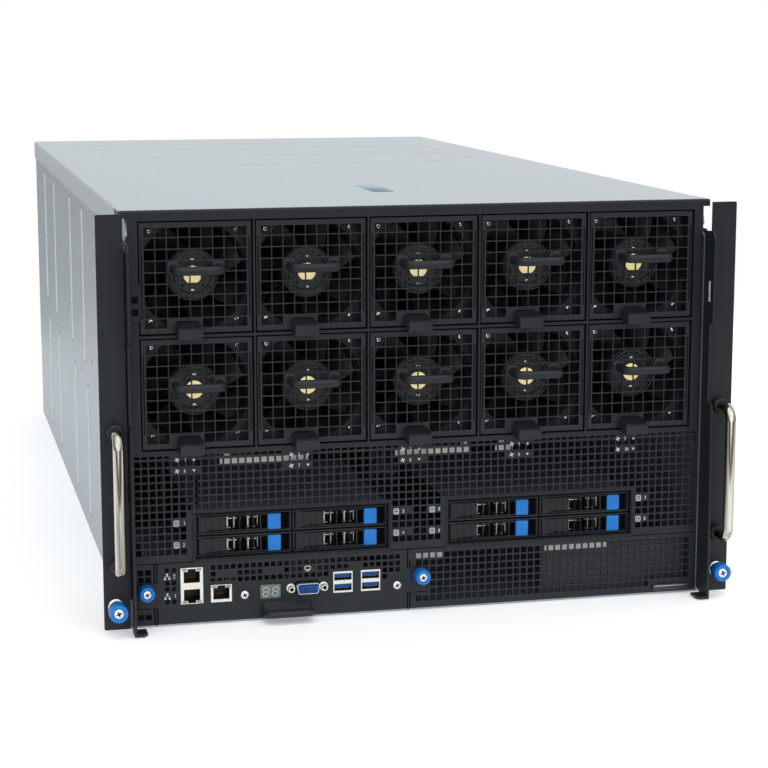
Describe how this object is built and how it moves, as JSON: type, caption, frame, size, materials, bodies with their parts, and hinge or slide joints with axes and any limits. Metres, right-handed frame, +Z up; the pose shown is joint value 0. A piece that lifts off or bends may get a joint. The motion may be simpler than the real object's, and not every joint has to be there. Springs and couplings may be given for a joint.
{
  "type": "gpu server",
  "caption": "Rack chassis with hot-swap fan modules over a vent panel with drive bays, a slide-out port tray, rack ears with pull handles and a sliding top cover.",
  "frame": {"origin": "bottom centre of the bounding box, on the chassis underside", "axes": "+X to the right seen from the front, +Y from the front to the rear, +Z up"},
  "size_m": [0.4826, 0.942, 0.3066],
  "materials": {
    "zinc_steel": "satin zinc",
    "cover_steel": "satin zinc",
    "black_steel": "powder coat",
    "black_plastic": "moulded",
    "rotor_plastic": "moulded",
    "chrome_bar": "polished",
    "blue_knob": "anodised",
    "lever_plastic": "moulded",
    "drive_body": "moulded and sheet",
    "port_shell": "plated shells on a board",
    "board": "solder mask",
    "sink": "extruded",
    "supply_case": "sheet",
    "tag_card": "moulded"
  },
  "bodies": {
    "chassis": {"chassis_tub": "zinc_steel", "front_frame": "black_steel", "vent_panels": "black_steel", "drive_cage": "zinc_steel", "rack_ears": "black_steel", "ear_handles": "chrome_bar", "thumbscrews": "blue_knob", "circuit_boards": "board", "heatsinks": "sink", "power_supplies": "supply_case"},
    "cover": {"top_cover": "cover_steel"},
    "io_drawer": {"io_tray": "black_steel", "io_ports": "port_shell"},
    "tag": {"asset_tag": "tag_card"},
    "fan_01": {"fan_01_carrier": "black_plastic"},
    "fan_01_rotor": {"fan_01_rotor": "rotor_plastic"},
    "fan_01_latch": {"fan_01_latch": "lever_plastic"},
    "fan_02": {"fan_02_carrier": "black_plastic"},
    "fan_02_rotor": {"fan_02_rotor": "rotor_plastic"},
    "fan_02_latch": {"fan_02_latch": "lever_plastic"},
    "fan_03": {"fan_03_carrier": "black_plastic"},
    "fan_03_rotor": {"fan_03_rotor": "rotor_plastic"},
    "fan_03_latch": {"fan_03_latch": "lever_plastic"},
    "fan_04": {"fan_04_carrier": "black_plastic"},
    "fan_04_rotor": {"fan_04_rotor": "rotor_plastic"},
    "fan_04_latch": {"fan_04_latch": "lever_plastic"},
    "fan_05": {"fan_05_carrier": "black_plastic"},
    "fan_05_rotor": {"fan_05_rotor": "rotor_plastic"},
    "fan_05_latch": {"fan_05_latch": "lever_plastic"},
    "fan_06": {"fan_06_carrier": "black_plastic"},
    "fan_06_rotor": {"fan_06_rotor": "rotor_plastic"},
    "fan_06_latch": {"fan_06_latch": "lever_plastic"},
    "fan_07": {"fan_07_carrier": "black_plastic"},
    "fan_07_rotor": {"fan_07_rotor": "rotor_plastic"},
    "fan_07_latch": {"fan_07_latch": "lever_plastic"},
    "fan_08": {"fan_08_carrier": "black_plastic"},
    "fan_08_rotor": {"fan_08_rotor": "rotor_plastic"},
    "fan_08_latch": {"fan_08_latch": "lever_plastic"},
    "fan_09": {"fan_09_carrier": "black_plastic"},
    "fan_09_rotor": {"fan_09_rotor": "rotor_plastic"},
    "fan_09_latch": {"fan_09_latch": "lever_plastic"},
    "fan_10": {"fan_10_carrier": "black_plastic"},
    "fan_10_rotor": {"fan_10_rotor": "rotor_plastic"},
    "fan_10_latch": {"fan_10_latch": "lever_plastic"},
    "drive_1": {"drive_1_carrier": "drive_body"},
    "drive_1_lever": {"drive_1_lever": "lever_plastic"},
    "drive_2": {"drive_2_carrier": "drive_body"},
    "drive_2_lever": {"drive_2_lever": "lever_plastic"},
    "drive_3": {"drive_3_carrier": "drive_body"},
    "drive_3_lever": {"drive_3_lever": "lever_plastic"},
    "drive_4": {"drive_4_carrier": "drive_body"},
    "drive_4_lever": {"drive_4_lever": "lever_plastic"},
    "drive_5": {"drive_5_carrier": "drive_body"},
    "drive_5_lever": {"drive_5_lever": "lever_plastic"},
    "drive_6": {"drive_6_carrier": "drive_body"},
    "drive_6_lever": {"drive_6_lever": "lever_plastic"},
    "drive_7": {"drive_7_carrier": "drive_body"},
    "drive_7_lever": {"drive_7_lever": "lever_plastic"},
    "drive_8": {"drive_8_carrier": "drive_body"},
    "drive_8_lever": {"drive_8_lever": "lever_plastic"}
  },
  "joints": [
    {"name": "cover_slide", "type": "slide", "parent": "chassis", "child": "cover", "axis": [0, 1, 0], "range_m": [0, 0.02]},
    {"name": "io_drawer_slide", "type": "slide", "parent": "chassis", "child": "io_drawer", "axis": [0, -1, 0], "range_m": [0, 0.2]},
    {"name": "tag_slide", "type": "slide", "parent": "chassis", "child": "tag", "axis": [0, -1, 0], "range_m": [0, 0.045]},
    {"name": "fan_01_slide", "type": "slide", "parent": "chassis", "child": "fan_01", "axis": [0, -1, 0], "range_m": [0, 0.095]},
    {"name": "fan_01_spin", "type": "hinge", "parent": "fan_01", "child": "fan_01_rotor", "pos_m": [-0.1692, -0.416, 0.2578], "axis": [0, 1, 0], "continuous": true},
    {"name": "fan_01_latch_press", "type": "slide", "parent": "fan_01", "child": "fan_01_latch", "axis": [0, 0, 1], "range_m": [0, 0.003], "stiffness_N_per_m": 400},
    {"name": "fan_02_slide", "type": "slide", "parent": "chassis", "child": "fan_02", "axis": [0, -1, 0], "range_m": [0, 0.095]},
    {"name": "fan_02_spin", "type": "hinge", "parent": "fan_02", "child": "fan_02_rotor", "pos_m": [-0.0846, -0.416, 0.2578], "axis": [0, 1, 0], "continuous": true},
    {"name": "fan_02_latch_press", "type": "slide", "parent": "fan_02", "child": "fan_02_latch", "axis": [0, 0, 1], "range_m": [0, 0.003], "stiffness_N_per_m": 400},
    {"name": "fan_03_slide", "type": "slide", "parent": "chassis", "child": "fan_03", "axis": [0, -1, 0], "range_m": [0, 0.095]},
    {"name": "fan_03_spin", "type": "hinge", "parent": "fan_03", "child": "fan_03_rotor", "pos_m": [0, -0.416, 0.2578], "axis": [0, 1, 0], "continuous": true},
    {"name": "fan_03_latch_press", "type": "slide", "parent": "fan_03", "child": "fan_03_latch", "axis": [0, 0, 1], "range_m": [0, 0.003], "stiffness_N_per_m": 400},
    {"name": "fan_04_slide", "type": "slide", "parent": "chassis", "child": "fan_04", "axis": [0, -1, 0], "range_m": [0, 0.095]},
    {"name": "fan_04_spin", "type": "hinge", "parent": "fan_04", "child": "fan_04_rotor", "pos_m": [0.0846, -0.416, 0.2578], "axis": [0, 1, 0], "continuous": true},
    {"name": "fan_04_latch_press", "type": "slide", "parent": "fan_04", "child": "fan_04_latch", "axis": [0, 0, 1], "range_m": [0, 0.003], "stiffness_N_per_m": 400},
    {"name": "fan_05_slide", "type": "slide", "parent": "chassis", "child": "fan_05", "axis": [0, -1, 0], "range_m": [0, 0.095]},
    {"name": "fan_05_spin", "type": "hinge", "parent": "fan_05", "child": "fan_05_rotor", "pos_m": [0.1692, -0.416, 0.2578], "axis": [0, 1, 0], "continuous": true},
    {"name": "fan_05_latch_press", "type": "slide", "parent": "fan_05", "child": "fan_05_latch", "axis": [0, 0, 1], "range_m": [0, 0.003], "stiffness_N_per_m": 400},
    {"name": "fan_06_slide", "type": "slide", "parent": "chassis", "child": "fan_06", "axis": [0, -1, 0], "range_m": [0, 0.095]},
    {"name": "fan_06_spin", "type": "hinge", "parent": "fan_06", "child": "fan_06_rotor", "pos_m": [-0.1692, -0.416, 0.1732], "axis": [0, 1, 0], "continuous": true},
    {"name": "fan_06_latch_press", "type": "slide", "parent": "fan_06", "child": "fan_06_latch", "axis": [0, 0, 1], "range_m": [0, 0.003], "stiffness_N_per_m": 400},
    {"name": "fan_07_slide", "type": "slide", "parent": "chassis", "child": "fan_07", "axis": [0, -1, 0], "range_m": [0, 0.095]},
    {"name": "fan_07_spin", "type": "hinge", "parent": "fan_07", "child": "fan_07_rotor", "pos_m": [-0.0846, -0.416, 0.1732], "axis": [0, 1, 0], "continuous": true},
    {"name": "fan_07_latch_press", "type": "slide", "parent": "fan_07", "child": "fan_07_latch", "axis": [0, 0, 1], "range_m": [0, 0.003], "stiffness_N_per_m": 400},
    {"name": "fan_08_slide", "type": "slide", "parent": "chassis", "child": "fan_08", "axis": [0, -1, 0], "range_m": [0, 0.095]},
    {"name": "fan_08_spin", "type": "hinge", "parent": "fan_08", "child": "fan_08_rotor", "pos_m": [0, -0.416, 0.1732], "axis": [0, 1, 0], "continuous": true},
    {"name": "fan_08_latch_press", "type": "slide", "parent": "fan_08", "child": "fan_08_latch", "axis": [0, 0, 1], "range_m": [0, 0.003], "stiffness_N_per_m": 400},
    {"name": "fan_09_slide", "type": "slide", "parent": "chassis", "child": "fan_09", "axis": [0, -1, 0], "range_m": [0, 0.095]},
    {"name": "fan_09_spin", "type": "hinge", "parent": "fan_09", "child": "fan_09_rotor", "pos_m": [0.0846, -0.416, 0.1732], "axis": [0, 1, 0], "continuous": true},
    {"name": "fan_09_latch_press", "type": "slide", "parent": "fan_09", "child": "fan_09_latch", "axis": [0, 0, 1], "range_m": [0, 0.003], "stiffness_N_per_m": 400},
    {"name": "fan_10_slide", "type": "slide", "parent": "chassis", "child": "fan_10", "axis": [0, -1, 0], "range_m": [0, 0.095]},
    {"name": "fan_10_spin", "type": "hinge", "parent": "fan_10", "child": "fan_10_rotor", "pos_m": [0.1692, -0.416, 0.1732], "axis": [0, 1, 0], "continuous": true},
    {"name": "fan_10_latch_press", "type": "slide", "parent": "fan_10", "child": "fan_10_latch", "axis": [0, 0, 1], "range_m": [0, 0.003], "stiffness_N_per_m": 400},
    {"name": "drive_1_slide", "type": "slide", "parent": "chassis", "child": "drive_1", "axis": [0, -1, 0], "range_m": [0, 0.14]},
    {"name": "drive_1_lever_swing", "type": "hinge", "parent": "drive_1", "child": "drive_1_lever", "pos_m": [-0.1686, -0.4276, 0.07445], "axis": [0, 0, -1], "range_deg": [0, 75]},
    {"name": "drive_2_slide", "type": "slide", "parent": "chassis", "child": "drive_2", "axis": [0, -1, 0], "range_m": [0, 0.14]},
    {"name": "drive_2_lever_swing", "type": "hinge", "parent": "drive_2", "child": "drive_2_lever", "pos_m": [-0.1686, -0.4276, 0.05795], "axis": [0, 0, -1], "range_deg": [0, 75]},
    {"name": "drive_3_slide", "type": "slide", "parent": "chassis", "child": "drive_3", "axis": [0, -1, 0], "range_m": [0, 0.14]},
    {"name": "drive_3_lever_swing", "type": "hinge", "parent": "drive_3", "child": "drive_3_lever", "pos_m": [-0.0956, -0.4276, 0.07445], "axis": [0, 0, -1], "range_deg": [0, 75]},
    {"name": "drive_4_slide", "type": "slide", "parent": "chassis", "child": "drive_4", "axis": [0, -1, 0], "range_m": [0, 0.14]},
    {"name": "drive_4_lever_swing", "type": "hinge", "parent": "drive_4", "child": "drive_4_lever", "pos_m": [-0.0956, -0.4276, 0.05795], "axis": [0, 0, -1], "range_deg": [0, 75]},
    {"name": "drive_5_slide", "type": "slide", "parent": "chassis", "child": "drive_5", "axis": [0, -1, 0], "range_m": [0, 0.14]},
    {"name": "drive_5_lever_swing", "type": "hinge", "parent": "drive_5", "child": "drive_5_lever", "pos_m": [0.0231, -0.4276, 0.07445], "axis": [0, 0, -1], "range_deg": [0, 75]},
    {"name": "drive_6_slide", "type": "slide", "parent": "chassis", "child": "drive_6", "axis": [0, -1, 0], "range_m": [0, 0.14]},
    {"name": "drive_6_lever_swing", "type": "hinge", "parent": "drive_6", "child": "drive_6_lever", "pos_m": [0.0231, -0.4276, 0.05795], "axis": [0, 0, -1], "range_deg": [0, 75]},
    {"name": "drive_7_slide", "type": "slide", "parent": "chassis", "child": "drive_7", "axis": [0, -1, 0], "range_m": [0, 0.14]},
    {"name": "drive_7_lever_swing", "type": "hinge", "parent": "drive_7", "child": "drive_7_lever", "pos_m": [0.0961, -0.4276, 0.07445], "axis": [0, 0, -1], "range_deg": [0, 75]},
    {"name": "drive_8_slide", "type": "slide", "parent": "chassis", "child": "drive_8", "axis": [0, -1, 0], "range_m": [0, 0.14]},
    {"name": "drive_8_lever_swing", "type": "hinge", "parent": "drive_8", "child": "drive_8_lever", "pos_m": [0.0961, -0.4276, 0.05795], "axis": [0, 0, -1], "range_deg": [0, 75]}
  ]
}
